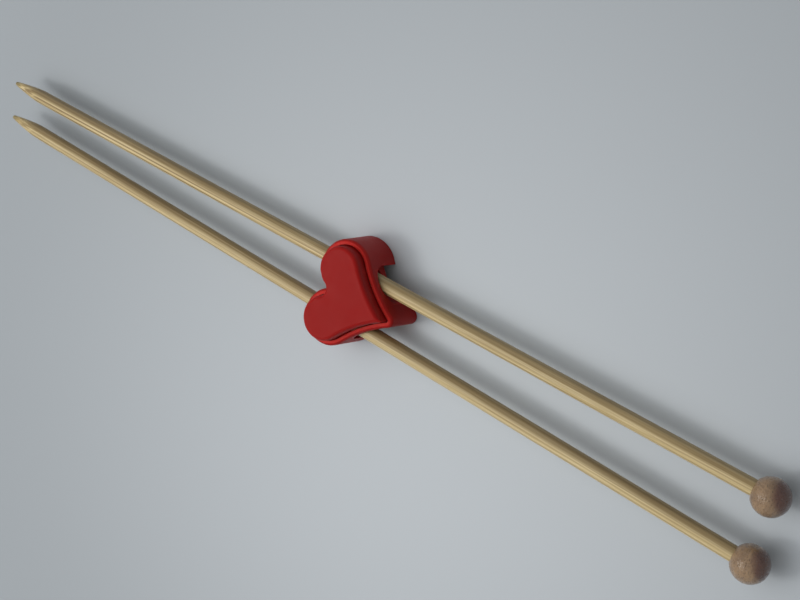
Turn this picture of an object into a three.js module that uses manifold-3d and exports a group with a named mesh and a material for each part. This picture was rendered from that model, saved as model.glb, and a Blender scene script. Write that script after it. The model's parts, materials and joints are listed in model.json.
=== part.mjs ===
// A pair of straight knitting needles kept together by a heart-shaped, push-button needle holder.
// Millimetres, +Z up, +X from the needle points to the knobs. The origin is the middle of the holder's base.

import * as THREE from 'three';
import { mergeVertices } from 'three/addons/utils/BufferGeometryUtils.js';
import Module from 'manifold-3d';

const wasm = await Module();
wasm.setup();

// ---- Driving dimensions ----

// Needles
const needleLength = 350; // from the point to the far side of the knob
const needleRadius = 2.75;
const taperLength = 16;
const taperPower = 1.4; // 1 is a cone, more is a fuller nose
const pointRadius = 0.85;
const knobRadius = 6.35;
const socketDepth = 8; // how deep the shaft sits in the knob
const glueGap = 0.3;

// Each needle crosses the holder at its own small angle, with its knob's centre this far along it.
const needles = [
  { name: 'needle_a', side: 1, knobReach: 155.7, yawDegrees: 0.15 },
  { name: 'needle_b', side: -1, knobReach: 158.8, yawDegrees: -1.32 },
];

// Heart outline at the holder's base
const heartLength = 36;
const lobeRadius = 10.6;
const lobeOverlap = 1.0; // how far the circle of each lobe reaches past the heart's axis
const cleftRadius = 0.3;
const tipRadius = 2.8;
const flankRadius = 50; // hollow flank between the lobe and the tip
const sharpestRadius = 0.4; // the tip of an inset outline never gets sharper

// Holder shell
const wallDraft = 0.3; // the wall leans in by this much from base to rim
const rimWidth = 1.8;
const rimRound = 1.0;
const baseChamfer = 0.4;
const skirtWall = 1.3; // shell wall beside the flange and the cover
const runGap = 0.3; // working clearance between plastic pieces
const slotSide = 2.05; // slot wall to a centred needle
const slotGap = 0.6; // slot top to the needle
const needleInset = 0.5; // the needles cross a little inside the middles of the slots

// Push button
const buttonTravel = 2.3;
const buttonGap = 0.4; // button to the rim
const buttonRise = 4.6; // button face above the rim
const buttonWall = 1.5;
const buttonRoof = 1.8;
const faceRound = 1.2;
const flangeHeight = 1.9;
const bridgeHeight = 0.9; // button wall between the flange and a needle hole
const holeSide = 1.45; // needle hole's radius over the needle's
const holeRaise = 0.7; // a needle rests this far under the middle of the hole's lower arc
const rimCover = 0.3; // how far the rim hides the needle holes
const bossLength = 4;

// Back cover and spring
const coverThickness = 1.5;
const postHeight = 6;
const postGap = 0.45; // post to the inside of the spring
const wireRadius = 0.35;
const coilRadius = 3.0; // axis to the middle of the wire
const springTurns = 7;
const closedTurns = 1; // flat turns at each end
const closedPitch = 0.84; // rise of a flat turn, a little over the wire's thickness

// How finely the round stretches are divided
const tipSteps = 4;
const flankSteps = 7;
const lobeSteps = 18;
const cleftSteps = 3;
const slotSteps = 32;
const edgeSteps = 3;
const pinSides = 24;
const wireSides = 8;
const stepsPerTurn = 14;
const shaftSides = 24;
const pointSteps = 2;
const taperSteps = 9;
const knobSides = 32;
const knobSteps = 18;

const overrun = 1; // how far a cutting solid passes the face that it opens

// ---- Heights and insets that follow ----

const flangeBottom = coverThickness + runGap + buttonTravel;
const flangeTop = flangeBottom + flangeHeight;
const ledgeHeight = flangeTop + runGap;
const holeRadius = needleRadius + holeSide;
const needleHeight = flangeTop + bridgeHeight + holeRadius - holeRaise;
const holeLow = needleHeight + holeRaise;
const holeHigh = needleHeight + buttonTravel - holeRaise;
const rimHeight = holeHigh + holeRadius + rimCover;
const faceHeight = rimHeight + buttonRise;
const roofHeight = faceHeight - buttonRoof;
const slotRadius = needleRadius + slotSide;
const slotTop = needleHeight + needleRadius + slotGap;
const postRadius = coilRadius - wireRadius - postGap;

const lobeOffset = lobeRadius - lobeOverlap;
const openingInset = wallDraft + rimWidth;
const buttonInset = openingInset + buttonGap;
const skirtInset = skirtWall + runGap; // the flange and the cover fit inside the skirt
const coverHalfWidth = lobeOffset - slotRadius - runGap; // the cover fits between the slots

// ---- Materials ----

const redPlastic = { color: 0x9c2422, roughness: 0.42, metalness: 0 };
const bamboo = { color: 0xbfa873, roughness: 0.5, metalness: 0 };
const turnedWood = { color: 0x87705f, roughness: 0.55, metalness: 0 };
const springSteel = { color: 0xb8bcc0, roughness: 0.3, metalness: 1 };

// ---- Solids ----

// Turns a closed three.js geometry into a manifold solid.
function toSolid(geometry) {
  const bare = geometry.clone();
  bare.deleteAttribute('normal');
  bare.deleteAttribute('uv');
  const merged = mergeVertices(bare, 1e-5);
  return new wasm.Manifold(new wasm.Mesh({
    numProp: 3,
    vertProperties: new Float32Array(merged.attributes.position.array),
    triVerts: new Uint32Array(merged.index.array),
  }));
}

// Turns a manifold solid back into a three.js geometry.
function toGeometry(solid) {
  const mesh = solid.getMesh();
  const geometry = new THREE.BufferGeometry();
  geometry.setAttribute('position', new THREE.BufferAttribute(new Float32Array(mesh.vertProperties), 3));
  geometry.setIndex(new THREE.BufferAttribute(new Uint32Array(mesh.triVerts), 1));
  geometry.computeVertexNormals();
  return geometry;
}

// Points along an arc from one angle to another, both ends included.
function arc(center, radius, from, to, steps) {
  return Array.from({ length: steps + 1 }, (_, i) => {
    const angle = THREE.MathUtils.lerp(from, to, i / steps);
    return new THREE.Vector2(center.x + radius * Math.cos(angle), center.y + radius * Math.sin(angle));
  });
}

// Where two circles meet, on the side further from the axis of the heart.
function circlesMeet(a, radiusA, b, radiusB) {
  const span = b.clone().sub(a);
  const distance = span.length();
  const along = (radiusA ** 2 - radiusB ** 2 + distance ** 2) / (2 * distance);
  const across = Math.sqrt(radiusA ** 2 - along ** 2);
  const unit = span.divideScalar(distance);
  const foot = a.clone().addScaledVector(unit, along);
  return foot.add(new THREE.Vector2(-unit.y, unit.x).multiplyScalar(across));
}

const angleOf = (from, to) => Math.atan2(to.y - from.y, to.x - from.x);

// Arc centres of the heart's +Y half. Every inset outline shares them, so its walls keep an even thickness.
const lobeCenter = new THREE.Vector2(lobeRadius - heartLength / 2, lobeOffset);
const tipCenter = new THREE.Vector2(heartLength / 2 - tipRadius, 0);
const flankCenter = circlesMeet(lobeCenter, lobeRadius + flankRadius, tipCenter, tipRadius + flankRadius);
const cleftCenter = new THREE.Vector2(
  lobeCenter.x - Math.sqrt((lobeRadius + cleftRadius) ** 2 - lobeOffset ** 2), 0);

// The heart's outline, moved in by inset, anticlockwise from the tip.
function heartOutline(inset) {
  const nose = Math.max(tipRadius - inset, sharpestRadius);
  const noseReach = Math.sqrt((flankRadius + inset + nose) ** 2 - flankCenter.y ** 2);
  const noseCenter = new THREE.Vector2(flankCenter.x - noseReach, 0);
  const flankStart = angleOf(flankCenter, noseCenter) + 2 * Math.PI;
  const flankEnd = angleOf(flankCenter, lobeCenter) + 2 * Math.PI;
  const lobeStart = angleOf(lobeCenter, flankCenter);
  const lobeEnd = angleOf(lobeCenter, cleftCenter) + 2 * Math.PI;
  const half = [
    ...arc(noseCenter, nose, 0, angleOf(noseCenter, flankCenter), tipSteps),
    ...arc(flankCenter, flankRadius + inset, flankStart, flankEnd, flankSteps).slice(1),
    ...arc(lobeCenter, lobeRadius - inset, lobeStart, lobeEnd, lobeSteps).slice(1),
    ...arc(cleftCenter, cleftRadius + inset, angleOf(cleftCenter, lobeCenter), 0, cleftSteps).slice(1),
  ];
  const mirrored = half.slice(1, -1).reverse().map((point) => new THREE.Vector2(point.x, -point.y));
  return [...half, ...mirrored];
}

// A closed solid through heart outlines, each given as [height, inset], from the bottom up.
function heartLoft(levels) {
  const rings = levels.map(([height, inset]) => heartOutline(inset).map((p) => [p.x, p.y, height]));
  const count = rings[0].length;
  const index = [];
  for (let level = 0; level + 1 < rings.length; level++) {
    for (let i = 0; i < count; i++) {
      const a = level * count + i;
      const b = level * count + ((i + 1) % count);
      index.push(a, b, b + count, a, b + count, a + count);
    }
  }
  const cap = (inset, start, flip) => {
    for (const [a, b, c] of THREE.ShapeUtils.triangulateShape(heartOutline(inset), [])) {
      index.push(start + a, start + (flip ? c : b), start + (flip ? b : c));
    }
  };
  cap(levels[0][1], 0, true);
  cap(levels.at(-1)[1], (rings.length - 1) * count, false);
  const geometry = new THREE.BufferGeometry();
  geometry.setAttribute('position', new THREE.Float32BufferAttribute(rings.flat(2), 3));
  geometry.setIndex(index);
  return toSolid(geometry);
}

// Levels that round a heart loft's upper edge, from its wall to its flat top.
function roundedEdge(top, inset, radius) {
  return arc(new THREE.Vector2(inset + radius, top - radius), radius, Math.PI, Math.PI / 2, edgeSteps)
    .map((p) => [p.y, p.x]);
}

// A bar along X through the whole holder, with the given section in Y and Z.
function cutter(shape) {
  const depth = heartLength + 2 * overrun;
  const bar = new THREE.ExtrudeGeometry(shape, { depth, bevelEnabled: false, curveSegments: slotSteps / 2 });
  bar.rotateX(Math.PI / 2);
  bar.rotateZ(Math.PI / 2);
  bar.translate(-depth / 2, 0, 0);
  return toSolid(bar);
}

// Cuts the way for a needle, round at its top and open at the base.
function slotCutter(side) {
  const slot = new THREE.Shape();
  slot.moveTo(side * lobeOffset + slotRadius, -overrun);
  slot.lineTo(side * lobeOffset + slotRadius, slotTop - slotRadius);
  slot.absarc(side * lobeOffset, slotTop - slotRadius, slotRadius, 0, Math.PI);
  slot.lineTo(side * lobeOffset - slotRadius, -overrun);
  return cutter(slot);
}

// Upright round pin on the holder's axis.
function pin(radius, bottom, top) {
  const geometry = new THREE.CylinderGeometry(radius, radius, top - bottom, pinSides);
  geometry.rotateX(Math.PI / 2);
  geometry.translate(0, 0, (top + bottom) / 2);
  return toSolid(geometry);
}

// ---- Holder ----

// Heart-shaped sleeve, slotted for the needles from the base up. Its rim keeps the button in.
function holderShell() {
  const draftAt = (height) => (wallDraft * height) / rimHeight;
  const body = heartLoft([
    [0, baseChamfer],
    [baseChamfer, draftAt(baseChamfer)],
    ...roundedEdge(rimHeight, draftAt(rimHeight - rimRound), rimRound),
  ]);
  const opening = heartLoft([[-overrun, openingInset], [rimHeight + overrun, openingInset]]);
  const flangeRoom = heartLoft([[-overrun, skirtWall], [ledgeHeight, skirtWall]]);
  let shell = body.subtract(opening).subtract(flangeRoom);
  for (const { side } of needles) {
    shell = shell.subtract(slotCutter(side));
  }
  return toGeometry(shell);
}

// Hollow heart-shaped plunger. Its flange, parted at the slots, stops under the rim.
// Its holes carry the needles.
function pushButton() {
  const body = heartLoft([[flangeBottom, buttonInset], ...roundedEdge(faceHeight, buttonInset, faceRound)]);
  let flange = heartLoft([[flangeBottom, skirtInset], [flangeTop, skirtInset]]);
  for (const { side } of needles) {
    flange = flange.subtract(slotCutter(side));
  }
  const hollowInset = buttonInset + buttonWall;
  const hollow = heartLoft([[flangeBottom - overrun, hollowInset], [roofHeight, hollowInset]]);
  const boss = pin(postRadius, roofHeight - bossLength, roofHeight + buttonRoof / 2);
  let button = body.add(flange).subtract(hollow).add(boss);
  for (const { side } of needles) {
    const hole = new THREE.Shape();
    hole.absarc(side * lobeOffset, holeHigh, holeRadius, 0, Math.PI);
    hole.absarc(side * lobeOffset, holeLow, holeRadius, Math.PI, 2 * Math.PI);
    button = button.subtract(cutter(hole));
  }
  return toGeometry(button);
}

// Plate that closes the base between the slots, with the post that centres the spring.
function backCover() {
  const between = new THREE.Shape();
  between.moveTo(-coverHalfWidth, -overrun);
  between.lineTo(coverHalfWidth, -overrun);
  between.lineTo(coverHalfWidth, coverThickness + overrun);
  between.lineTo(-coverHalfWidth, coverThickness + overrun);
  const plate = heartLoft([[0, skirtInset], [coverThickness, skirtInset]]).intersect(cutter(between));
  return toGeometry(plate.add(pin(postRadius, coverThickness / 2, coverThickness + postHeight)));
}

// Compression spring from the cover to the button's roof, with a flat turn at each end.
class SpringCurve extends THREE.Curve {
  getPoint(t, target = new THREE.Vector3()) {
    const bottom = coverThickness + runGap + wireRadius;
    const top = roofHeight - runGap - wireRadius;
    const turn = t * springTurns;
    const closedRise = closedTurns * closedPitch;
    const openPitch = (top - bottom - 2 * closedRise) / (springTurns - 2 * closedTurns);
    let height = turn * closedPitch;
    if (turn > springTurns - closedTurns) {
      height = top - bottom - (springTurns - turn) * closedPitch;
    } else if (turn > closedTurns) {
      height = closedRise + (turn - closedTurns) * openPitch;
    }
    const angle = turn * 2 * Math.PI;
    return target.set(coilRadius * Math.cos(angle), coilRadius * Math.sin(angle), bottom + height);
  }
}

function returnSpring() {
  const section = new THREE.Shape();
  section.absarc(0, 0, wireRadius, 0, 2 * Math.PI);
  const steps = Math.round(springTurns * stepsPerTurn);
  return new THREE.ExtrudeGeometry(section, {
    steps, curveSegments: wireSides / 2, extrudePath: new SpringCurve(),
  });
}

// ---- Needles, along +X from the middle of the holder ----

function turnedAlongX(profile, sides) {
  const geometry = new THREE.LatheGeometry(profile, sides);
  geometry.rotateZ(-Math.PI / 2);
  return geometry;
}

// Shaft with a blunt, gently bellied point.
function needleShaft(knobReach) {
  const pointX = knobReach + knobRadius - needleLength;
  const endX = knobReach - knobRadius + socketDepth;
  const taperStart = pointX + pointRadius;
  const profile = arc(new THREE.Vector2(), pointRadius, 0, Math.PI / 2, pointSteps)
    .map((p) => new THREE.Vector2(p.y, taperStart - p.x));
  for (let i = 1; i <= taperSteps; i++) {
    const share = i / taperSteps;
    const radius = THREE.MathUtils.lerp(needleRadius, pointRadius, (1 - share) ** taperPower);
    profile.push(new THREE.Vector2(radius, THREE.MathUtils.lerp(taperStart, pointX + taperLength, share)));
  }
  profile.push(new THREE.Vector2(needleRadius, endX), new THREE.Vector2(0, endX));
  return turnedAlongX(profile, shaftSides);
}

// Turned ball with the blind socket that the shaft is glued into.
function needleKnob(knobReach) {
  const boreRadius = needleRadius + glueGap;
  const boreEnd = knobReach - knobRadius + socketDepth + glueGap;
  const mouth = Math.PI - Math.asin(boreRadius / knobRadius);
  const ball = arc(new THREE.Vector2(), knobRadius, mouth, 0, knobSteps)
    .map((p) => new THREE.Vector2(p.y, knobReach + p.x));
  const profile = [new THREE.Vector2(0, boreEnd), new THREE.Vector2(boreRadius, boreEnd), ...ball];
  return turnedAlongX(profile, knobSides);
}

// ---- Assembly ----

function addMesh(parent, name, geometry, look) {
  const mesh = new THREE.Mesh(geometry, new THREE.MeshStandardMaterial(look));
  mesh.name = name;
  parent.add(mesh);
}

const assembly = new THREE.Group();
addMesh(assembly, 'holder_shell', holderShell(), redPlastic);
addMesh(assembly, 'push_button', pushButton(), redPlastic);
addMesh(assembly, 'back_cover', backCover(), redPlastic);
addMesh(assembly, 'return_spring', returnSpring(), springSteel);

for (const { name, side, knobReach, yawDegrees } of needles) {
  const needle = new THREE.Group();
  needle.position.set(0, side * (lobeOffset - needleInset), needleHeight);
  needle.rotation.z = THREE.MathUtils.degToRad(yawDegrees);
  addMesh(needle, `${name}_shaft`, needleShaft(knobReach), bamboo);
  addMesh(needle, `${name}_knob`, needleKnob(knobReach), turnedWood);
  assembly.add(needle);
}

export default assembly;
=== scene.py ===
"""The looks of a pair of bamboo knitting needles held in a heart-shaped push-button needle holder."""

import json
import math

import bmesh
import bpy
from mathutils import Matrix, Quaternion, Vector


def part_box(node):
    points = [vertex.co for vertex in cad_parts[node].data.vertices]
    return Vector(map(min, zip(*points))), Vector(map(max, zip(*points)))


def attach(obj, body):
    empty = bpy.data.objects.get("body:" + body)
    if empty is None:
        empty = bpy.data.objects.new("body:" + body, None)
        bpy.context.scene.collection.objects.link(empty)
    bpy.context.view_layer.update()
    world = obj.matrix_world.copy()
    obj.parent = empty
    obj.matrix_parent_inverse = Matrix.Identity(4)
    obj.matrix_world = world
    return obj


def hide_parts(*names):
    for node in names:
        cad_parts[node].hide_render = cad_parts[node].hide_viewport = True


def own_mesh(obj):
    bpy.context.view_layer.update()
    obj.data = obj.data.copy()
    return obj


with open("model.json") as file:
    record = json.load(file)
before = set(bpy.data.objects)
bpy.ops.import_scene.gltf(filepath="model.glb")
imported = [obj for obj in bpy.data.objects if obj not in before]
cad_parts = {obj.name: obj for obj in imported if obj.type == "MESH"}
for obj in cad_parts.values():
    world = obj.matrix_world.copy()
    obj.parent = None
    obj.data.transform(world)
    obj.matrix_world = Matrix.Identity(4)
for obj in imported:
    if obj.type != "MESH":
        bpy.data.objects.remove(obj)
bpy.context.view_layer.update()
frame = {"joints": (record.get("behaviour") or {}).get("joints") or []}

MM = 0.001

# ---- Sizes, in metres ----

# The heart's outline is made of arcs. An inset outline keeps their centres.
LOBE_RADIUS = 10.6 * MM
TIP_RADIUS = 2.8 * MM
FLANK_RADIUS = 50 * MM
CLEFT_RADIUS = 0.3 * MM
SHARPEST_TIP = 0.4 * MM
TIP_STEPS = 10
FLANK_STEPS = 36
LOBE_STEPS = 72
CLEFT_STEPS = 8
FACET_DEPTH = 0.03 * MM  # the carried solid's facets lie this far inside its arcs

# Holder shell
WALL_DRAFT = 0.3 * MM
RIM_ROUND = 1.3 * MM
RIM_INNER_ROUND = 0.2 * MM
OPENING_INSET = 2.25 * MM
BASE_ROUND = 0.4 * MM
SKIRT_WALL = 1.3 * MM
LEDGE_HEIGHT = 6.3 * MM
SLOT_RADIUS = 4.8 * MM
SLOT_TOP = 13.75 * MM

# Edges of the moulded pieces
HARD_EDGE = 0.2 * MM
HARD_EDGE_STEPS = 3
HARD_EDGE_ANGLE = 50  # degrees
EDGE_CLEARANCE = 0.32 * MM  # no outline point lies nearer than this to the side of a cut
WELD_DISTANCE = 0.03 * MM

# Push button
BUTTON_INSET = 2.5 * MM
FACE_ROUND = 1.5 * MM
FLANGE_INSET = 1.6 * MM
FLANGE_HEIGHT = 1.9 * MM
BUTTON_WALL = 1.5 * MM
BUTTON_ROOF = 1.8 * MM
BOSS_RADIUS = 2.2 * MM
BOSS_LENGTH = 4.0 * MM
HOLE_RADIUS = 4.2 * MM
HOLE_LOW = 11.1 * MM
HOLE_HIGH = 12.0 * MM

# Back cover
COVER_THICKNESS = 1.5 * MM
COVER_INSET = 1.6 * MM
COVER_HALF_WIDTH = 4.5 * MM

# Spring
WIRE_RADIUS = 0.35 * MM
SPRING_TURNS = 7
CLOSED_PITCH = 0.84 * MM

# Needles
TAPER_LENGTH = 16 * MM
TAPER_FULLNESS = 1.4
POINT_RADIUS = 0.85 * MM
GLUE_GAP = 0.3 * MM
KNOB_MOUTH_ROUND = 0.35 * MM
# The knobs' side facing away from the lights, where shade is painted into the wood's colour.
KNOB_SHADE_SIDE = (0.82, 0.48, 0.3)
NEEDLE_SHADE_SIDE = 35  # degrees round the needle, from +Y to +Z, to the side facing away from the lights, where brown shade is painted

# Table, palest at its middle, where a pool of light is painted into its colour. It dims out to POOL_EDGE and
# blends into the backdrop up to FAR_END.
TABLE_REACH = 12.0
TABLE_MIDDLE = (0.05, -0.03, 0)
POOL_EDGE = 0.26
FAR_START = 0.28
FAR_END = 0.8


# ---- Node trees ----


class Tree:
    """Adds nodes to a node tree, each given by its type, its settings and what goes into its sockets."""

    def __init__(self, node_tree):
        self.tree = node_tree

    def add(self, kind, settings=None, **sockets):
        node = self.tree.nodes.new(kind)
        for name, value in (settings or {}).items():
            setattr(node, name, value)
        for name, value in sockets.items():
            self.plug(node, name.replace("_", " "), value)
        return node

    def plug(self, node, name, value):
        """Links or sets the first enabled input of that name, or the input of that number."""
        if isinstance(name, int):
            socket = node.inputs[name]
        else:
            socket = next(s for s in node.inputs if s.name.lower() == name.lower() and s.enabled)
        self.fill(socket, value)

    def fill(self, socket, value):
        """Links a node or a socket to the input, or sets the input to a plain value."""
        if isinstance(value, bpy.types.Node):
            value = next(s for s in value.outputs if s.enabled)
        if isinstance(value, bpy.types.NodeSocket):
            self.tree.links.new(value, socket)
        else:
            socket.default_value = value

    def math(self, operation, a, b=0.0, clamp=False):
        node = self.add("ShaderNodeMath", {"operation": operation, "use_clamp": clamp})
        for number, value in enumerate((a, b)):
            self.plug(node, number, value)
        return node.outputs[0]

    def span(self, value, low, high, to_low=0.0, to_high=1.0, smooth=False):
        """Maps low..high to to_low..to_high, held at both ends."""
        kind = "SMOOTHSTEP" if smooth else "LINEAR"
        node = self.add("ShaderNodeMapRange", {"interpolation_type": kind, "clamp": True})
        for number, item in enumerate((value, low, high, to_low, to_high)):
            self.plug(node, number, item)
        return node.outputs[0]

    def mix(self, factor, a, b):
        """The colour a where factor is 0, the colour b where it is 1."""
        node = self.add("ShaderNodeMix", {"data_type": "RGBA"})
        self.plug(node, 0, factor)
        for socket, color in zip([s for s in node.inputs if s.type == "RGBA"], (a, b)):
            self.fill(socket, color)
        return next(s for s in node.outputs if s.type == "RGBA")


def screen_color(red, green, blue):
    """A colour given in screen values of 0 to 255, as linear light."""
    def linear(value):
        share = value / 255
        return share / 12.92 if share <= 0.04045 else ((share + 0.055) / 1.055) ** 2.4
    return (linear(red), linear(green), linear(blue), 1.0)


BACKDROP = screen_color(176, 183, 187)


def new_material(name):
    material = bpy.data.materials.new(name)
    material.use_nodes = True
    material.node_tree.nodes.clear()
    tree = Tree(material.node_tree)
    shader = tree.add("ShaderNodeBsdfPrincipled")
    output = tree.add("ShaderNodeOutputMaterial")
    tree.plug(output, "Surface", shader.outputs["BSDF"])
    return material, tree, shader


def place_in_piece(tree, turn, center, scale=(1, 1, 1), slide=0.0):
    """Object coordinates seen from center and turned about Z, then scaled and slid along X."""
    coordinates = tree.add("ShaderNodeTexCoord").outputs["Object"]
    straight = tree.add("ShaderNodeMapping", {"vector_type": "TEXTURE"}, Vector=coordinates)
    straight.inputs["Location"].default_value = center
    straight.inputs["Rotation"].default_value = (0, 0, turn)
    scaled = tree.add("ShaderNodeMapping", {"vector_type": "POINT"}, Vector=straight.outputs[0])
    scaled.inputs["Scale"].default_value = scale
    scaled.inputs["Location"].default_value = (slide, 0, 0)
    return scaled.outputs[0]


def noise(tree, vector, scale, detail=3.0, roughness=0.5):
    node = tree.add("ShaderNodeTexNoise", Vector=vector, Scale=scale, Detail=detail, Roughness=roughness)
    return node.outputs["Fac"]


def bump(tree, shader, height, distance):
    """Gives the surface a relief that is distance deep where height is 1."""
    normal = tree.add("ShaderNodeBump", Height=height, Distance=distance).outputs["Normal"]
    tree.plug(shader, "Normal", normal)
    return normal


# ---- Materials ----


def moulded_red(rim_height):
    """Satin red plastic with a fine moulded texture and faint flow marks. Its edges are rubbed paler, and the
    crest of the rim is painted palest of all, as a highlight."""
    material, tree, shader = new_material("moulded_red")
    shader.inputs["Specular IOR Level"].default_value = 0.25
    shader.inputs["Specular Tint"].default_value = (1.0, 0.8, 0.76, 1.0)
    shader.inputs["Subsurface Weight"].default_value = 0.5
    shader.inputs["Subsurface Radius"].default_value = (1.0, 0.1, 0.08)
    shader.inputs["Subsurface Scale"].default_value = 1.2 * MM
    spot = tree.add("ShaderNodeTexCoord").outputs["Object"]
    cloud = noise(tree, spot, 70, detail=4)
    body = tree.mix(cloud, screen_color(135, 9, 7), screen_color(144, 15, 12))
    surface = tree.add("ShaderNodeNewGeometry").outputs
    edge = tree.span(surface["Pointiness"], 0.51, 0.56)
    facing_up = tree.add("ShaderNodeSeparateXYZ", Vector=surface["Normal"]).outputs["Z"]
    height = tree.add("ShaderNodeSeparateXYZ", Vector=spot).outputs["Z"]
    from_rim = tree.math("ABSOLUTE", tree.math("SUBTRACT", height, rim_height))
    at_rim = tree.span(from_rim, 0.25 * MM, 0.05 * MM)
    # Painted highlight: the upward-facing crest at the rim's height gets the paler red in full.
    crest = tree.math("MULTIPLY", tree.span(facing_up, 0.7, 0.95), at_rim)
    wear_and_crest_highlight = tree.math("MAXIMUM", crest, tree.math("MULTIPLY", edge, 0.6))
    patchy = tree.span(noise(tree, spot, 400, detail=2), 0.3, 0.6, 0.7, 1.0)
    rubbed_wear_and_highlight = tree.math("MULTIPLY", wear_and_crest_highlight, patchy)
    # Paler red, used both for the rubbed edges and for the painted highlight on the rim's crest.
    tree.plug(shader, "Base Color", tree.mix(rubbed_wear_and_highlight, body, screen_color(184, 42, 36)))
    grain = noise(tree, spot, 5200, detail=2, roughness=0.6)
    smear = noise(tree, spot, 260, detail=3)
    tree.plug(shader, "Roughness", tree.span(tree.math("ADD", grain, smear), 0.6, 1.4, 0.46, 0.6))
    bump(tree, shader, grain, 0.02 * MM)
    return material


def bamboo(name, needle):
    """Waxed bamboo. Its fibre bundles run the whole length and are cut across by the taper. They crowd on one
    side of the needle, and the side facing away from the lights is painted browner as shade."""
    material, tree, shader = new_material(name)
    spot = tree.add("ShaderNodeSeparateXYZ", Vector=place_in_piece(tree, needle.turn, needle.point)).outputs

    def along(length_share):
        return place_in_piece(tree, needle.turn, needle.point, (length_share, 1, 1), needle.grain_slide)

    def facing(degrees):
        """From -1 to 1: how squarely the surface faces that angle round the needle, counted from +Y to +Z."""
        side = math.radians(degrees)
        return tree.math("ADD", tree.math("MULTIPLY", spot["Y"], math.cos(side) / needle.radius),
                         tree.math("MULTIPLY", spot["Z"], math.sin(side) / needle.radius))

    across = tree.add("ShaderNodeCombineXYZ", X=spot["Y"], Y=spot["Z"]).outputs[0]
    bundle = tree.add("ShaderNodeTexVoronoi", {"feature": "F1", "voronoi_dimensions": "2D"}, Vector=across,
                      Scale=1100, Randomness=0.9)
    broken = tree.span(noise(tree, along(0.05), 500, detail=2), 0.3, 0.5, 0.4, 1.0)
    line = tree.math("MULTIPLY", tree.span(bundle.outputs["Distance"], 0.46, 0.26), broken)
    fine = noise(tree, along(0.01), 1500, detail=4, roughness=0.7)
    broad = noise(tree, along(0.02), 300, detail=2)
    stain = noise(tree, along(0.15), 110, detail=3)
    shader.inputs["Specular IOR Level"].default_value = 0.5
    straw = tree.mix(tree.span(broad, 0.38, 0.62), screen_color(170, 148, 101), screen_color(190, 169, 122))
    pale = tree.mix(tree.span(fine, 0.5, 0.62), straw, screen_color(208, 189, 144))
    veined = tree.mix(tree.span(fine, 0.46, 0.36, 0, 0.6), pale, screen_color(138, 115, 74))
    lined_side = tree.span(facing(needle.lined_side), -0.6, 0.4, 0.2, needle.line_depth)
    crowded = tree.math("MULTIPLY", lined_side, tree.span(spot["X"], 0.06, 0.22, 1.0, 0.5))
    lined = tree.mix(tree.math("MULTIPLY", line, crowded), veined, screen_color(110, 84, 46))
    # Painted shade: the side facing away from the lights is browned towards this dark colour, patchy with the
    # stain noise.
    painted_shade_side = tree.span(facing(NEEDLE_SHADE_SIDE), 0.5, 1.0, 0, needle.shade_depth)
    painted_brown_shade = tree.math("MULTIPLY", painted_shade_side, tree.span(stain, 0.35, 0.6, 0.7, 1.0))
    shaded_bamboo = tree.mix(painted_brown_shade, lined, screen_color(112, 92, 61))
    handled = tree.span(tree.math("DIVIDE", spot["X"], TAPER_LENGTH), 0.3, 0.0, 0, 0.7)
    tree.plug(shader, "Base Color", tree.mix(handled, shaded_bamboo, screen_color(116, 110, 74)))
    tree.plug(shader, "Roughness", tree.span(fine, 0.3, 0.7, 0.5, 0.34))
    bump(tree, shader, tree.math("SUBTRACT", fine, line), 0.05 * MM)
    return material


def turned_wood(name, needle):
    """Close-grained wood turned to a ball and sealed, with fine open pores and painted shade on the side
    facing away from the lights.
    """
    material, tree, shader = new_material(name)
    shader.inputs["Specular IOR Level"].default_value = 0.25
    shader.inputs["Coat Weight"].default_value = 1.0
    shader.inputs["Coat Roughness"].default_value = 0.16

    def along(across_share):
        scale = (1, across_share, across_share)
        return place_in_piece(tree, needle.turn, needle.knob_center, scale, needle.grain_slide)

    grain = noise(tree, along(0.3), 420, detail=4, roughness=0.6)
    pores = noise(tree, along(0.4), 2600, detail=2, roughness=0.6)
    mottle = noise(tree, along(1), 1500, detail=4, roughness=0.6)
    wavy = noise(tree, along(0.5), 260, detail=2)
    # Painted shade: the side of the ball facing away from the lights darkens to reddish brown, with a wavy
    # edge.
    towards_shade = tree.add("ShaderNodeVectorMath", {"operation": "DOT_PRODUCT"})
    tree.plug(towards_shade, 0, place_in_piece(tree, needle.turn, needle.knob_center))
    tree.plug(towards_shade, 1, Vector(KNOB_SHADE_SIDE).normalized() / needle.knob_radius)
    depth = tree.math("ADD", towards_shade.outputs["Value"], tree.math("MULTIPLY", wavy, 0.3))
    painted_knob_shade = tree.span(depth, 0.6, 0.95, 0, 0.85, smooth=True)
    body = tree.mix(tree.span(grain, 0.34, 0.66), screen_color(122, 97, 72), screen_color(152, 124, 93))
    shaded_wood = tree.mix(painted_knob_shade, body, screen_color(78, 40, 32))
    pore = tree.span(pores, 0.58, 0.7)
    pore_shade = tree.math("MULTIPLY", pore, 0.18)
    tree.plug(shader, "Base Color", tree.mix(pore_shade, shaded_wood, screen_color(74, 52, 40)))
    tree.plug(shader, "Roughness", tree.span(mottle, 0.35, 0.65, 0.2, 0.42))
    relief = bump(tree, shader, tree.math("SUBTRACT", mottle, pore), 0.16 * MM)
    tree.plug(shader, "Coat Normal", relief)
    return material


def spring_wire():
    """Drawn steel wire."""
    material, tree, shader = new_material("spring_wire")
    shader.inputs["Metallic"].default_value = 1.0
    spot = tree.add("ShaderNodeTexCoord").outputs["Object"]
    drawn = noise(tree, spot, 2500, detail=3)
    tree.plug(shader, "Base Color", tree.mix(drawn, screen_color(176, 179, 182), screen_color(205, 207, 209)))
    tree.plug(shader, "Roughness", tree.span(drawn, 0.3, 0.7, 0.22, 0.38))
    bump(tree, shader, drawn, 0.01 * MM)
    return material


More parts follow.
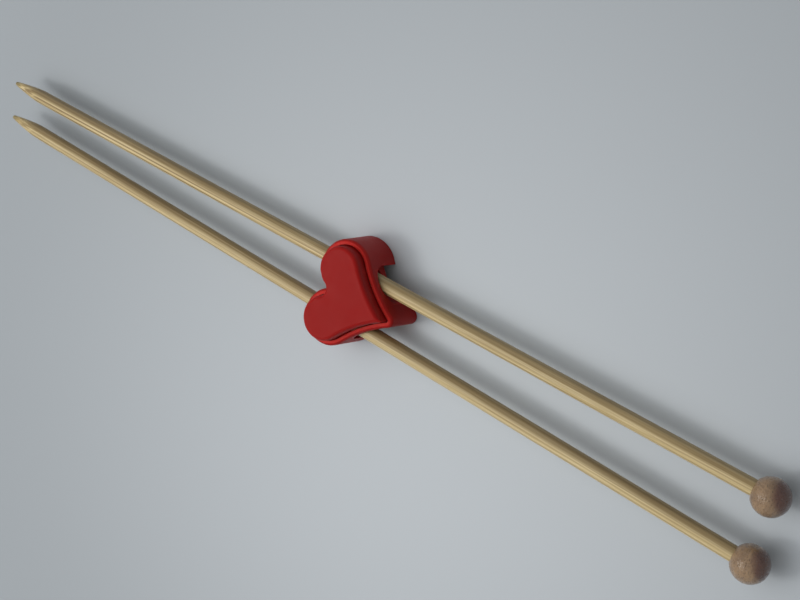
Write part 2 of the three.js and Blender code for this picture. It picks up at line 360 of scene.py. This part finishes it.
def backdrop_rays(tree):
    """1 for the rays that show the backdrop: those seen directly, in gloss or through glass."""
    path = tree.add("ShaderNodeLightPath").outputs
    indirect = tree.math("MAXIMUM", path["Is Glossy Ray"], path["Is Transmission Ray"])
    return tree.math("MAXIMUM", path["Is Camera Ray"], indirect)


def table_top():
    """Matt pale grey table with a painted pool of light, so darker away from its middle. Far off it blends
    into the backdrop, for the rays that show the backdrop."""
    material, tree, shader = new_material("table_top")
    shader.inputs["Specular IOR Level"].default_value = 0.2
    shader.inputs["Roughness"].default_value = 0.7
    spot = tree.add("ShaderNodeTexCoord").outputs["Object"]
    cloud = noise(tree, spot, 3, detail=3)
    pale = tree.mix(cloud, screen_color(182, 187, 191), screen_color(186, 191, 195))
    from_middle = tree.add("ShaderNodeVectorMath", {"operation": "DISTANCE"})
    tree.plug(from_middle, 0, spot)
    tree.plug(from_middle, 1, TABLE_MIDDLE)
    # Painted pool of light: the table's colour dims to a darker grey away from its middle.
    edge = tree.span(from_middle.outputs["Value"], 0.0, POOL_EDGE, smooth=True)
    tree.plug(shader, "Base Color", tree.mix(edge, pale, screen_color(154, 159, 163)))
    far = tree.span(from_middle.outputs["Value"], FAR_START, FAR_END, smooth=True)
    backdrop = tree.add("ShaderNodeEmission", Color=BACKDROP, Strength=1.0)
    blended = tree.add("ShaderNodeMixShader")
    tree.plug(blended, 0, tree.math("MULTIPLY", far, backdrop_rays(tree)))
    tree.plug(blended, 1, shader.outputs["BSDF"])
    tree.plug(blended, 2, backdrop.outputs[0])
    output = next(node for node in material.node_tree.nodes if node.type == "OUTPUT_MATERIAL")
    tree.plug(output, "Surface", blended.outputs[0])
    return material


# ---- Mesh helpers ----


def new_piece(name, mesh_maker, material=None):
    """A new object whose mesh is filled in by mesh_maker(bmesh)."""
    mesh = bpy.data.meshes.new(name)
    made = bmesh.new()
    mesh_maker(made)
    made.normal_update()
    made.to_mesh(mesh)
    made.free()
    if material:
        mesh.materials.append(material)
    piece = bpy.data.objects.new(name, mesh)
    bpy.context.scene.collection.objects.link(piece)
    return piece


def settle(piece):
    """Turns the piece's modifiers into plain mesh."""
    view = bpy.context.evaluated_depsgraph_get()
    view.update()
    mesh = bpy.data.meshes.new_from_object(piece.evaluated_get(view))
    piece.modifiers.clear()
    old = piece.data
    piece.data = mesh
    mesh.name = piece.name
    bpy.data.meshes.remove(old)
    return piece


def smooth(piece, degrees=32):
    """Smooth shading with sharp edges where faces meet at more than that angle."""
    piece.data.polygons.foreach_set("use_smooth", [True] * len(piece.data.polygons))
    piece.data.set_sharp_from_angle(angle=math.radians(degrees))
    modifier = piece.modifiers.new("even", "WEIGHTED_NORMAL")
    modifier.keep_sharp = True
    return settle(piece)


def combine(piece, others, operation):
    """Joins the other pieces to the piece, or cuts them out of it."""
    for other in others:
        modifier = piece.modifiers.new("combine", "BOOLEAN")
        modifier.operation = operation
        modifier.solver = "EXACT"
        modifier.object = other
    settle(piece)
    for other in others:
        bpy.data.objects.remove(other)
    return piece


def soften(piece):
    """Rounds the piece's hard edges."""
    modifier = piece.modifiers.new("soften", "BEVEL")
    modifier.width = HARD_EDGE
    modifier.segments = HARD_EDGE_STEPS
    modifier.limit_method = "ANGLE"
    modifier.angle_limit = math.radians(HARD_EDGE_ANGLE)
    modifier.use_clamp_overlap = False
    return settle(piece)


def weld(piece, split_level=False):
    """Merges vertices that nearly coincide. It can also cut level faces with more than four corners into
    triangles, so that rounding their edges doesn't fill the heart's cleft."""
    most_corners = 4
    nearly_level = 0.99
    made = bmesh.new()
    made.from_mesh(piece.data)
    bmesh.ops.remove_doubles(made, verts=made.verts, dist=WELD_DISTANCE)
    bmesh.ops.dissolve_degenerate(made, edges=made.edges, dist=WELD_DISTANCE * 0.1)
    if split_level:
        made.normal_update()
        level = [face for face in made.faces
                 if len(face.verts) > most_corners and abs(face.normal.z) > nearly_level]
        bmesh.ops.triangulate(made, faces=level)
    made.to_mesh(piece.data)
    made.free()
    return piece


# ---- Heart outlines ----


def arc(center, radius, start, end, steps):
    points = []
    for i in range(steps + 1):
        angle = start + (end - start) * i / steps
        points.append(Vector((center.x + radius * math.cos(angle), center.y + radius * math.sin(angle))))
    return points


def circles_meet(a, radius_a, b, radius_b):
    """Where two circles meet, on the left of the way from a to b."""
    span = b - a
    along = (radius_a ** 2 - radius_b ** 2 + span.length_squared) / (2 * span.length)
    across = math.sqrt(radius_a ** 2 - along ** 2)
    unit = span.normalized()
    return a + unit * along + Vector((-unit.y, unit.x)) * across


def angle_of(start, end):
    return math.atan2(end.y - start.y, end.x - start.x)


class Heart:
    """A heart outline made of arcs, with its lobes at -X and its tip at +X, symmetric about X."""

    def __init__(self, half_length, half_width):
        self.lobe_center = Vector((LOBE_RADIUS - half_length, half_width - LOBE_RADIUS))
        tip_center = Vector((half_length - TIP_RADIUS, 0))
        self.flank_center = circles_meet(
            self.lobe_center, LOBE_RADIUS + FLANK_RADIUS, tip_center, TIP_RADIUS + FLANK_RADIUS)
        reach = math.sqrt((LOBE_RADIUS + CLEFT_RADIUS) ** 2 - self.lobe_center.y ** 2)
        self.cleft_center = Vector((self.lobe_center.x - reach, 0))
        self.sides = (self.lobe_center.y, -self.lobe_center.y)

    def outline(self, inset, skip=()):
        """Points anticlockwise from the tip, moved in by inset, without the ones numbered in skip."""
        nose = max(TIP_RADIUS - inset, SHARPEST_TIP)
        reach = math.sqrt((FLANK_RADIUS + inset + nose) ** 2 - self.flank_center.y ** 2)
        nose_center = Vector((self.flank_center.x - reach, 0))
        full = 2 * math.pi
        half = arc(nose_center, nose, 0, angle_of(nose_center, self.flank_center), TIP_STEPS)
        half += arc(self.flank_center, FLANK_RADIUS + inset, angle_of(self.flank_center, nose_center) + full,
                    angle_of(self.flank_center, self.lobe_center) + full, FLANK_STEPS)[1:]
        half += arc(self.lobe_center, LOBE_RADIUS - inset, angle_of(self.lobe_center, self.flank_center),
                    angle_of(self.lobe_center, self.cleft_center) + full, LOBE_STEPS)[1:]
        half += arc(self.cleft_center, CLEFT_RADIUS + inset,
                    angle_of(self.cleft_center, self.lobe_center), 0, CLEFT_STEPS)[1:]
        whole = half + [Vector((p.x, -p.y)) for p in half[-2:0:-1]]
        return [p for number, p in enumerate(whole) if number not in skip]

    def crowded(self, insets, cuts):
        """Numbers of the outline points that come too near a cut whose side lies at that distance from X."""
        return {number for inset in insets for number, p in enumerate(self.outline(inset))
                if any(abs(abs(p.y) - cut) < EDGE_CLEARANCE for cut in cuts)}


def ring(made, outline, height):
    return [made.verts.new((p.x, p.y, height)) for p in outline]


def skin(made, rings, closed=False):
    """Quads between each ring and the next, and back to the first if closed."""
    pairs = list(zip(rings, rings[1:]))
    if closed:
        pairs.append((rings[-1], rings[0]))
    for lower, upper in pairs:
        for i in range(len(lower)):
            j = (i + 1) % len(lower)
            made.faces.new((lower[i], lower[j], upper[j], upper[i]))


def quarter_round(start, end, steps, bulge_at_start):
    """(height, inset) pairs from start to end along a quarter of an ellipse, both ends left out."""
    pairs = []
    for i in range(1, steps):
        turn = math.pi / 2 * i / steps
        if bulge_at_start:
            rise, run = math.sin(turn), 1 - math.cos(turn)
        else:
            rise, run = 1 - math.cos(turn), math.sin(turn)
        pairs.append((start[0] + (end[0] - start[0]) * rise, start[1] + (end[1] - start[1]) * run))
    return pairs


def slot_cutter(side, radius, low, high):
    """A bar along X through the holder, round above high. It is round below low too, or goes down through the
    base if low is None."""
    half_length = 24 * MM
    below_base = -1 * MM
    steps = 40

    def fill(made):
        angles = [math.pi * i / steps for i in range(steps + 1)]
        profile = [(math.cos(angle), math.sin(angle)) for angle in angles]
        points = [(side + radius * y, high + radius * z) for y, z in profile]
        if low is None:
            points += [(side - radius, below_base), (side + radius, below_base)]
        else:
            points += [(side - radius * y, low - radius * z) for y, z in profile]
        ends = [[made.verts.new((x, y, z)) for y, z in points] for x in (-half_length, half_length)]
        skin(made, ends)
        made.faces.new(list(reversed(ends[0])))
        made.faces.new(ends[1])
        bmesh.ops.recalc_face_normals(made, faces=made.faces)

    return new_piece("cutter", fill)


def block(low, high):
    """A plain box for cutting."""
    def fill(made):
        bmesh.ops.create_cube(made, size=1)
        for vertex in made.verts:
            share = vertex.co + Vector((0.5, 0.5, 0.5))
            vertex.co = [a + (b - a) * part for a, b, part in zip(low, high, share)]

    return new_piece("cutter", fill)


def upright_pin(made, radius, low, high, sides=48):
    """A closed round pin on the Z axis."""
    angles = [2 * math.pi * i / sides for i in range(sides)]
    circle = [Vector((math.cos(angle), math.sin(angle))) for angle in angles]
    ends = [ring(made, [radius * p for p in circle], height) for height in (low, high)]
    skin(made, ends)
    made.faces.new(list(reversed(ends[0])))
    made.faces.new(ends[1])


def needle_slots(heart):
    """Cutters for the slots, open down to the base."""
    return [slot_cutter(side, SLOT_RADIUS, None, SLOT_TOP - SLOT_RADIUS) for side in heart.sides]


# ---- Holder ----


def holder_shell(high, heart, look):
    """Sleeve with a rounded rim, an eased base edge and a slot through each side for each needle."""
    rim = high.z
    shoulder = rim - RIM_ROUND

    def draft(height):
        return WALL_DRAFT * height / rim

    foot, base = (BASE_ROUND, draft(BASE_ROUND)), (0, BASE_ROUND)
    outer, crest = (shoulder, draft(shoulder)), (rim, draft(shoulder) + RIM_ROUND)
    lip, throat = (rim, OPENING_INSET - RIM_INNER_ROUND), (rim - RIM_INNER_ROUND, OPENING_INSET)
    profile = [base, *reversed(quarter_round(foot, base, steps=4, bulge_at_start=True)), foot]
    profile += [outer, *quarter_round(outer, crest, steps=8, bulge_at_start=True), crest]
    profile += [lip, *quarter_round(lip, throat, steps=5, bulge_at_start=False), throat]
    profile += [(LEDGE_HEIGHT, OPENING_INSET), (LEDGE_HEIGHT, SKIRT_WALL), (0, SKIRT_WALL)]
    slot_sides = [heart.lobe_center.y + SLOT_RADIUS, heart.lobe_center.y - SLOT_RADIUS]
    skip = heart.crowded([WALL_DRAFT / 2, SKIRT_WALL, OPENING_INSET], slot_sides)

    def fill(made):
        skin(made, [ring(made, heart.outline(inset, skip), height) for height, inset in profile], closed=True)
        bmesh.ops.recalc_face_normals(made, faces=made.faces)

    shell = new_piece("needle_holder_shell", fill, look)
    combine(shell, needle_slots(heart), "DIFFERENCE")
    return smooth(soften(weld(shell)))


def push_button(low, high, heart, look):
    """Hollow heart-shaped plunger with its parted flange, needle holes and spring boss."""
    face = high.z
    roof = face - BUTTON_ROOF
    hollow_inset = BUTTON_INSET + BUTTON_WALL
    wall, top = (face - FACE_ROUND, BUTTON_INSET), (face, BUTTON_INSET + FACE_ROUND)
    profile = [(roof, hollow_inset), (low.z, hollow_inset), (low.z, BUTTON_INSET), wall]
    profile += [*quarter_round(wall, top, steps=8, bulge_at_start=True), top]
    hole_sides = [heart.lobe_center.y + HOLE_RADIUS, heart.lobe_center.y - HOLE_RADIUS]
    skip = heart.crowded([BUTTON_INSET, hollow_inset], hole_sides)

    def fill_body(made):
        rings = [ring(made, heart.outline(inset, skip), height) for height, inset in profile]
        skin(made, rings)
        made.faces.new(rings[0])
        made.faces.new(rings[-1])
        bmesh.ops.recalc_face_normals(made, faces=made.faces)

    def fill_flange(made):
        inner = BUTTON_INSET + BUTTON_WALL / 2
        flange_top = low.z + FLANGE_HEIGHT
        section = [(low.z, FLANGE_INSET), (flange_top, FLANGE_INSET), (flange_top, inner), (low.z, inner)]
        skin(made, [ring(made, heart.outline(inset), height) for height, inset in section], closed=True)
        bmesh.ops.recalc_face_normals(made, faces=made.faces)

    def fill_boss(made):
        upright_pin(made, BOSS_RADIUS, roof - BOSS_LENGTH, roof + BUTTON_ROOF / 2)

    flange = combine(new_piece("flange", fill_flange), needle_slots(heart), "DIFFERENCE")
    button = new_piece("heart_button", fill_body, look)
    combine(button, [flange, new_piece("boss", fill_boss)], "UNION")
    holes = [slot_cutter(side, HOLE_RADIUS, HOLE_LOW, HOLE_HIGH) for side in heart.sides]
    combine(button, holes, "DIFFERENCE")
    return smooth(soften(weld(button)))


def back_cover(high, heart, look):
    """Plate that closes the base between the slots, with the spring's post."""
    def fill_plate(made):
        rings = [ring(made, heart.outline(COVER_INSET), height) for height in (0, COVER_THICKNESS)]
        skin(made, rings)
        made.faces.new(list(reversed(rings[0])))
        made.faces.new(rings[-1])

    def fill_post(made):
        upright_pin(made, BOSS_RADIUS, COVER_THICKNESS / 2, high.z)

    reach = 30 * MM
    outside = [block((-reach, COVER_HALF_WIDTH, -reach), (reach, reach, reach)),
               block((-reach, -reach, -reach), (reach, -COVER_HALF_WIDTH, reach))]
    plate = combine(new_piece("back_plate", fill_plate, look), outside, "DIFFERENCE")
    combine(plate, [new_piece("post", fill_post)], "UNION")
    return smooth(soften(weld(plate, split_level=True)))


# ---- Geometry Nodes ----


def sized_tree(name, sizes):
    """A geometry node tree with a named float input for each size."""
    tree = bpy.data.node_groups.new(name, "GeometryNodeTree")
    tree.interface.new_socket("Geometry", in_out="OUTPUT", socket_type="NodeSocketGeometry")
    for size in sizes:
        tree.interface.new_socket(size, in_out="INPUT", socket_type="NodeSocketFloat")
    return Tree(tree), tree.nodes.new("NodeGroupInput"), tree.nodes.new("NodeGroupOutput")


def grown(name, tree, sizes, material):
    """A piece made by a geometry node tree with these sizes, as plain mesh."""
    piece = new_piece(name, lambda made: None, material)
    modifier = piece.modifiers.new("grow", "NODES")
    modifier.node_group = tree.tree
    inputs = {s.name: s.identifier for s in tree.tree.interface.items_tree if s.in_out == "INPUT"}
    for size, value in sizes.items():
        modifier[inputs[size]] = float(value)
    return settle(piece)


def finish_tree(tree, result, output, material):
    """Ends a tree in smooth, realized mesh with its material."""
    smoothed = tree.add("GeometryNodeSetShadeSmooth", Geometry=result)
    real = tree.add("GeometryNodeRealizeInstances", Geometry=smoothed.outputs[0])
    painted = tree.add("GeometryNodeSetMaterial", Geometry=real.outputs[0], Material=material)
    tree.plug(output, "Geometry", painted.outputs[0])


def stick_tree(look):
    """A stick along +X from the origin, with a bellied taper to a small round point."""
    rings, sides = 260, 64
    least_radius = 0.02  # the share of the point's radius that is left at its very end
    tree, sizes, output = sized_tree(
        "needle_stick", ["Length", "Radius", "Taper Length", "Taper Fullness", "Point Radius"])
    out = sizes.outputs
    line = tree.add("GeometryNodeCurvePrimitiveLine", End=(1, 0, 0))
    fine = tree.add("GeometryNodeResampleCurve", Curve=line.outputs[0], Count=rings)
    share = tree.math("DIVIDE", tree.add("GeometryNodeInputIndex").outputs[0], float(rings - 1))
    # Half of the rings are on the taper, and they crowd towards the point.
    near = tree.math("MULTIPLY", tree.math("POWER", tree.math("MULTIPLY", share, 2.0, clamp=True), 2.0),
                     out["Taper Length"])
    far = tree.math("MULTIPLY", tree.span(share, 0.5, 1.0),
                    tree.math("SUBTRACT", out["Length"], out["Taper Length"]))
    reach = tree.math("ADD", near, far)
    placed = tree.add("GeometryNodeSetPosition", Geometry=fine.outputs[0],
                      Position=tree.add("ShaderNodeCombineXYZ", X=reach).outputs[0])
    left = tree.math("DIVIDE", tree.math("SUBTRACT", out["Taper Length"], reach),
                     tree.math("SUBTRACT", out["Taper Length"], out["Point Radius"]), clamp=True)
    ogive = tree.math("POWER", left, out["Taper Fullness"])
    loss = tree.math("MULTIPLY", ogive, tree.math("SUBTRACT", out["Radius"], out["Point Radius"]))
    slim = tree.math("SUBTRACT", out["Radius"], loss)
    nose = tree.math("SUBTRACT", 1.0, tree.math("DIVIDE", reach, out["Point Radius"]), clamp=True)
    rounding = tree.math("SQRT", tree.math("SUBTRACT", 1.0, tree.math("MULTIPLY", nose, nose), clamp=True))
    radius = tree.math("MULTIPLY", slim, tree.math("MAXIMUM", rounding, least_radius))
    circle = tree.add("GeometryNodeCurvePrimitiveCircle", Resolution=sides, Radius=1.0)
    swept = tree.add("GeometryNodeCurveToMesh", Curve=placed.outputs[0], Profile_Curve=circle.outputs[0],
                     Scale=radius, Fill_Caps=True)
    finish_tree(tree, swept.outputs[0], output, look)
    return tree


def spring_tree(look):
    """A compression spring about Z whose first and last turns are closed."""
    steps_per_turn, sides = 40, 12
    points = SPRING_TURNS * steps_per_turn
    tree, sizes, output = sized_tree(
        "press_spring", ["Bottom", "Top", "Coil Radius", "Wire Radius", "Turns", "Closed Pitch"])
    out = sizes.outputs
    line = tree.add("GeometryNodeCurvePrimitiveLine", End=(0, 0, 1))
    fine = tree.add("GeometryNodeResampleCurve", Curve=line.outputs[0], Count=points)
    share = tree.math("DIVIDE", tree.add("GeometryNodeInputIndex").outputs[0], float(points - 1))
    turn = tree.math("MULTIPLY", share, out["Turns"])
    first = tree.math("MINIMUM", turn, 1.0)
    last_start = tree.math("SUBTRACT", out["Turns"], 1.0)
    last = tree.math("MAXIMUM", tree.math("SUBTRACT", turn, last_start), 0.0)
    closed = tree.math("MULTIPLY", tree.math("ADD", first, last), out["Closed Pitch"])
    open_turns = tree.math("SUBTRACT", tree.math("SUBTRACT", turn, first), last)
    rise = tree.math("SUBTRACT", tree.math("SUBTRACT", out["Top"], out["Bottom"]),
                     tree.math("MULTIPLY", out["Closed Pitch"], 2.0))
    open_share = tree.math("DIVIDE", open_turns, tree.math("SUBTRACT", out["Turns"], 2.0))
    open_rise = tree.math("MULTIPLY", open_share, rise)
    height = tree.math("ADD", out["Bottom"], tree.math("ADD", closed, open_rise))
    angle = tree.math("MULTIPLY", turn, 2 * math.pi)
    place = tree.add("ShaderNodeCombineXYZ",
                     X=tree.math("MULTIPLY", tree.math("COSINE", angle), out["Coil Radius"]),
                     Y=tree.math("MULTIPLY", tree.math("SINE", angle), out["Coil Radius"]), Z=height)
    placed = tree.add("GeometryNodeSetPosition", Geometry=fine.outputs[0], Position=place.outputs[0])
    circle = tree.add("GeometryNodeCurvePrimitiveCircle", Resolution=sides, Radius=out["Wire Radius"])
    swept = tree.add("GeometryNodeCurveToMesh", Curve=placed.outputs[0], Profile_Curve=circle.outputs[0],
                     Fill_Caps=True)
    finish_tree(tree, swept.outputs[0], output, look)
    return tree


# ---- Needles ----


class Needle:
    """Where one needle lies: its axis, its point and its knob, all from the frame. grain_slide shifts its
    grain, so that no two needles look alike. Its fibre lines are darkest, at line_depth, on the side that
    lined_side gives in degrees from +Y to +Z, and the painted brown shade on its side away from the lights is
    as deep as shade_depth."""

    def __init__(self, name, grain_slide, lined_side, line_depth, shade_depth):
        self.grain_slide = grain_slide
        self.lined_side = lined_side
        self.line_depth = line_depth
        self.shade_depth = shade_depth
        shaft_low, shaft_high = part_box(f"{name}_shaft")
        knob_low, knob_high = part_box(f"{name}_knob")
        joint = next(joint for joint in frame["joints"] if joint["child"] == name)
        self.name = name
        self.axis = Vector(joint["axis"]).normalized()
        self.turn = math.atan2(self.axis.y, self.axis.x)
        self.knob_radius = (knob_high.z - knob_low.z) / 2
        self.knob_center = (knob_low + knob_high) / 2
        self.knob_center.x = knob_high.x - self.knob_radius
        self.radius = (shaft_high.z - shaft_low.z) / 2
        self.length = (shaft_high.x - shaft_low.x - 2 * self.radius * abs(self.axis.y)) / self.axis.x
        self.point = self.knob_center - self.axis * ((self.knob_center.x - shaft_low.x) / self.axis.x)
        self.shaft_end = (self.point + self.axis * self.length - self.knob_center).dot(self.axis)

    def place(self, origin):
        return Matrix.Translation(origin) @ Matrix.Rotation(self.turn, 4, "Z")


def needle_shaft(needle):
    look = bamboo(f"bamboo_{needle.name}", needle)
    sizes = {"Length": needle.length, "Radius": needle.radius, "Taper Length": TAPER_LENGTH,
             "Taper Fullness": TAPER_FULLNESS, "Point Radius": POINT_RADIUS}
    shaft = grown(f"{needle.name}_bamboo_shaft", stick_tree(look), sizes, look)
    shaft.data.transform(needle.place(needle.point))
    return smooth(shaft, degrees=60)


def needle_knob(needle):
    """Turned ball with the blind socket that the shaft is glued into."""
    radius = needle.knob_radius
    bore = needle.radius + GLUE_GAP
    bore_end = needle.shaft_end + GLUE_GAP
    mouth = math.pi - math.asin((bore + KNOB_MOUTH_ROUND) / radius)
    rings_on_ball, sides = 72, 96
    turns = [2 * math.pi * i / sides for i in range(sides)]

    def fill(made):
        mouth_x = radius * math.cos(mouth)
        profile = [(bore_end, bore), (mouth_x + KNOB_MOUTH_ROUND, bore)]
        profile += [(mouth_x + 0.1 * KNOB_MOUTH_ROUND, bore + 0.45 * KNOB_MOUTH_ROUND)]
        for i in range(rings_on_ball):
            angle = mouth * (1 - i / rings_on_ball)
            profile.append((radius * math.cos(angle), radius * math.sin(angle)))
        rings = [[made.verts.new((x, r * math.cos(a), r * math.sin(a))) for a in turns] for x, r in profile]
        skin(made, rings)
        pole = made.verts.new((radius, 0, 0))
        last = rings[-1]
        for i in range(sides):
            made.faces.new((last[i], last[(i + 1) % sides], pole))
        made.faces.new(rings[0])
        bmesh.ops.recalc_face_normals(made, faces=made.faces)

    look = turned_wood(f"turned_wood_{needle.name}", needle)
    knob = new_piece(f"{needle.name}_turned_knob", fill, look)
    knob.data.transform(needle.place(needle.knob_center))
    return smooth(knob, degrees=50)


# ---- Stage ----


def area_light(name, location, size, power, color):
    """A round light that faces the holder, with its size in metres and its power in watts."""
    lamp = bpy.data.lights.new(name, "AREA")
    lamp.shape = "DISK"
    lamp.size = size
    lamp.energy = power
    lamp.color = color
    holder = bpy.data.objects.new(name, lamp)
    bpy.context.scene.collection.objects.link(holder)
    holder.location = Vector(location)
    holder.rotation_mode = "QUATERNION"
    holder.rotation_quaternion = (-holder.location).to_track_quat("-Z", "Y")
    return holder


def studio():
    """A pale table under three lights above its -X and -Y side, from a very wide soft one to a small lamp.
    Dim light comes from all round, most of it from near the horizon."""
    def fill(made):
        corners = [(-1, -1), (1, -1), (1, 1), (-1, 1)]
        made.faces.new([made.verts.new((x * TABLE_REACH, y * TABLE_REACH, 0)) for x, y in corners])

    new_piece("table", fill, table_top())

    world = bpy.data.worlds.new("room")
    bpy.context.scene.world = world
    world.use_nodes = True
    world.node_tree.nodes.clear()
    tree = Tree(world.node_tree)
    direction = tree.add("ShaderNodeSeparateXYZ", Vector=tree.add("ShaderNodeTexCoord").outputs["Generated"])
    level = tree.span(direction.outputs["Z"], 0, 0.7, 0.44, 0.12)
    light = tree.add("ShaderNodeBackground", Color=(0.95, 0.98, 1.0, 1.0), Strength=level)
    backdrop = tree.add("ShaderNodeBackground", Color=BACKDROP, Strength=1.0)
    mixed = tree.add("ShaderNodeMixShader")
    tree.plug(mixed, 0, backdrop_rays(tree))
    tree.plug(mixed, 1, light.outputs[0])
    tree.plug(mixed, 2, backdrop.outputs[0])
    output = tree.add("ShaderNodeOutputWorld")
    tree.plug(output, "Surface", mixed.outputs[0])

    cool, warm = (0.99, 0.995, 1.0), (1.0, 0.985, 0.96)
    broad = area_light("broad_light", (-0.39, -0.12, 1.45), size=2.6, power=19, color=cool)
    soft = area_light("soft_light", (-0.54, -0.24, 1.38), size=1.1, power=6.5, color=cool)
    area_light("lamp", (-0.68, -0.4, 1.28), size=0.34, power=4.2, color=warm)
    for wide in (broad, soft):
        wide.visible_glossy = False


def camera():
    """Looks down from the knobs' side, over the holder."""
    data = bpy.data.cameras.new("camera")
    data.lens = 60.76
    data.sensor_width = 36
    data.clip_start, data.clip_end = 0.01, 50
    holder = bpy.data.objects.new("camera", data)
    bpy.context.scene.collection.objects.link(holder)
    holder.location = Vector((219.5, 148.5, 409.7)) * MM
    target = Vector((14.22, 7.05, 10.4)) * MM
    roll = Quaternion((0, 0, 1), math.radians(-100.06))
    holder.rotation_mode = "QUATERNION"
    holder.rotation_quaternion = (target - holder.location).to_track_quat("-Z", "Y") @ roll
    bpy.context.scene.camera = holder


# ---- Assembly ----


camera()
studio()
spring_steel_look = spring_wire()
shell_low, shell_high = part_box("holder_shell")
red = moulded_red(shell_high.z)
heart = Heart((shell_high.x - shell_low.x) / 2, (shell_high.y - shell_low.y) / 2 + FACET_DEPTH)

shell = holder_shell(shell_high, heart, red)
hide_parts("holder_shell")
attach(shell, "holder")

cover_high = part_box("back_cover")[1]
cover = back_cover(cover_high, heart, red)
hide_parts("back_cover")
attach(cover, "holder")

button = push_button(*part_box("push_button"), heart, red)
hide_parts("push_button")
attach(button, "button")

spring_low, spring_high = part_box("return_spring")
spring_sizes = {
    "Bottom": spring_low.z + WIRE_RADIUS, "Top": spring_high.z - WIRE_RADIUS,
    "Coil Radius": spring_high.x - WIRE_RADIUS, "Wire Radius": WIRE_RADIUS,
    "Turns": SPRING_TURNS, "Closed Pitch": CLOSED_PITCH,
}
spring = grown("press_spring", spring_tree(spring_steel_look), spring_sizes, spring_steel_look)
smooth(spring, degrees=60)
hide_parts("return_spring")
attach(spring, "holder")
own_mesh(spring)

needles = (
    Needle("needle_a", grain_slide=0.35, lined_side=150, line_depth=0.8, shade_depth=0.85),
    Needle("needle_b", grain_slide=0.7, lined_side=165, line_depth=0.5, shade_depth=0.9),
)
for needle in needles:
    shaft = needle_shaft(needle)
    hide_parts(f"{needle.name}_shaft")
    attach(shaft, needle.name)
    knob = needle_knob(needle)
    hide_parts(f"{needle.name}_knob")
    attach(knob, needle.name)

bpy.context.scene.view_settings.view_transform = "Standard"
